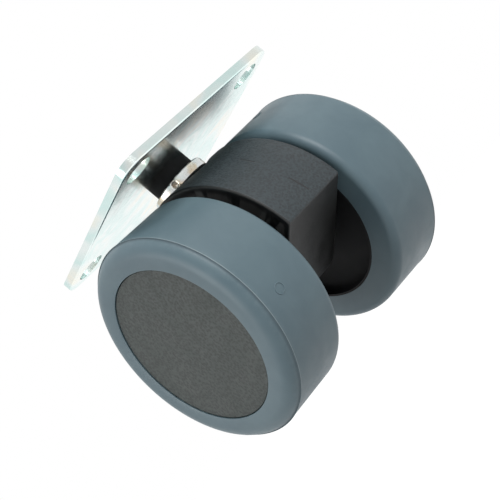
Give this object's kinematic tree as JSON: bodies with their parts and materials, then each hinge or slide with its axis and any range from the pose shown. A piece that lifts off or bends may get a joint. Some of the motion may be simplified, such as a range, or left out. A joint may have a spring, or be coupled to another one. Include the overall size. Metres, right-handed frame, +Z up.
{
  "type": "twin-wheel levelling castor",
  "caption": "Twin-wheel castor with soft grey tyres on a black half-round housing, under a square zinc-plated screw-on plate with a levelling sleeve.",
  "frame": {"origin": "centre of the plate's top face, on the swivel axis", "axes": "+Z up out of the plate's top face, Y along the axle, X along the rolling direction"},
  "size_m": [0.05, 0.0608, 0.0565],
  "materials": {
    "zinc_plate": "bright zinc plating with a faint blue and yellow tint",
    "zinc_steel": "zinc-plated turned steel",
    "spring_steel": "oiled spring steel",
    "black_nylon": "fine spark-eroded grain",
    "black_acetal": "smooth",
    "grey_tyre": "smooth satin"
  },
  "bodies": {
    "plate": {"mounting_plate": "zinc_plate", "threaded_stem": "zinc_steel", "spacer_ring": "black_acetal"},
    "sleeve": {"levelling_sleeve": "zinc_steel", "thrust_washer": "zinc_steel", "snap_ring": "spring_steel"},
    "fork": {"housing": "black_nylon", "axle": "zinc_steel", "inner_washer_left": "zinc_steel", "inner_washer_right": "zinc_steel", "outer_washer_left": "zinc_steel", "outer_washer_right": "zinc_steel", "axle_clip_left": "spring_steel", "axle_clip_right": "spring_steel"},
    "left_wheel": {"wheel_core_left": "black_nylon", "tyre_left": "grey_tyre", "hub_cap_left": "black_nylon"},
    "right_wheel": {"wheel_core_right": "black_nylon", "tyre_right": "grey_tyre", "hub_cap_right": "black_nylon"}
  },
  "joints": [
    {"name": "levelling", "type": "slide", "parent": "plate", "child": "sleeve", "axis": [0, 0, -1], "range_m": [0, 0.008]},
    {"name": "swivel", "type": "hinge", "parent": "sleeve", "child": "fork", "pos_m": [0, 0, -0.0079], "axis": [0, 0, 1], "continuous": true},
    {"name": "left_wheel_spin", "type": "hinge", "parent": "fork", "child": "left_wheel", "pos_m": [0, 0.0205, -0.0315], "axis": [0, 1, 0], "continuous": true},
    {"name": "right_wheel_spin", "type": "hinge", "parent": "fork", "child": "right_wheel", "pos_m": [0, -0.0205, -0.0315], "axis": [0, 1, 0], "continuous": true}
  ]
}
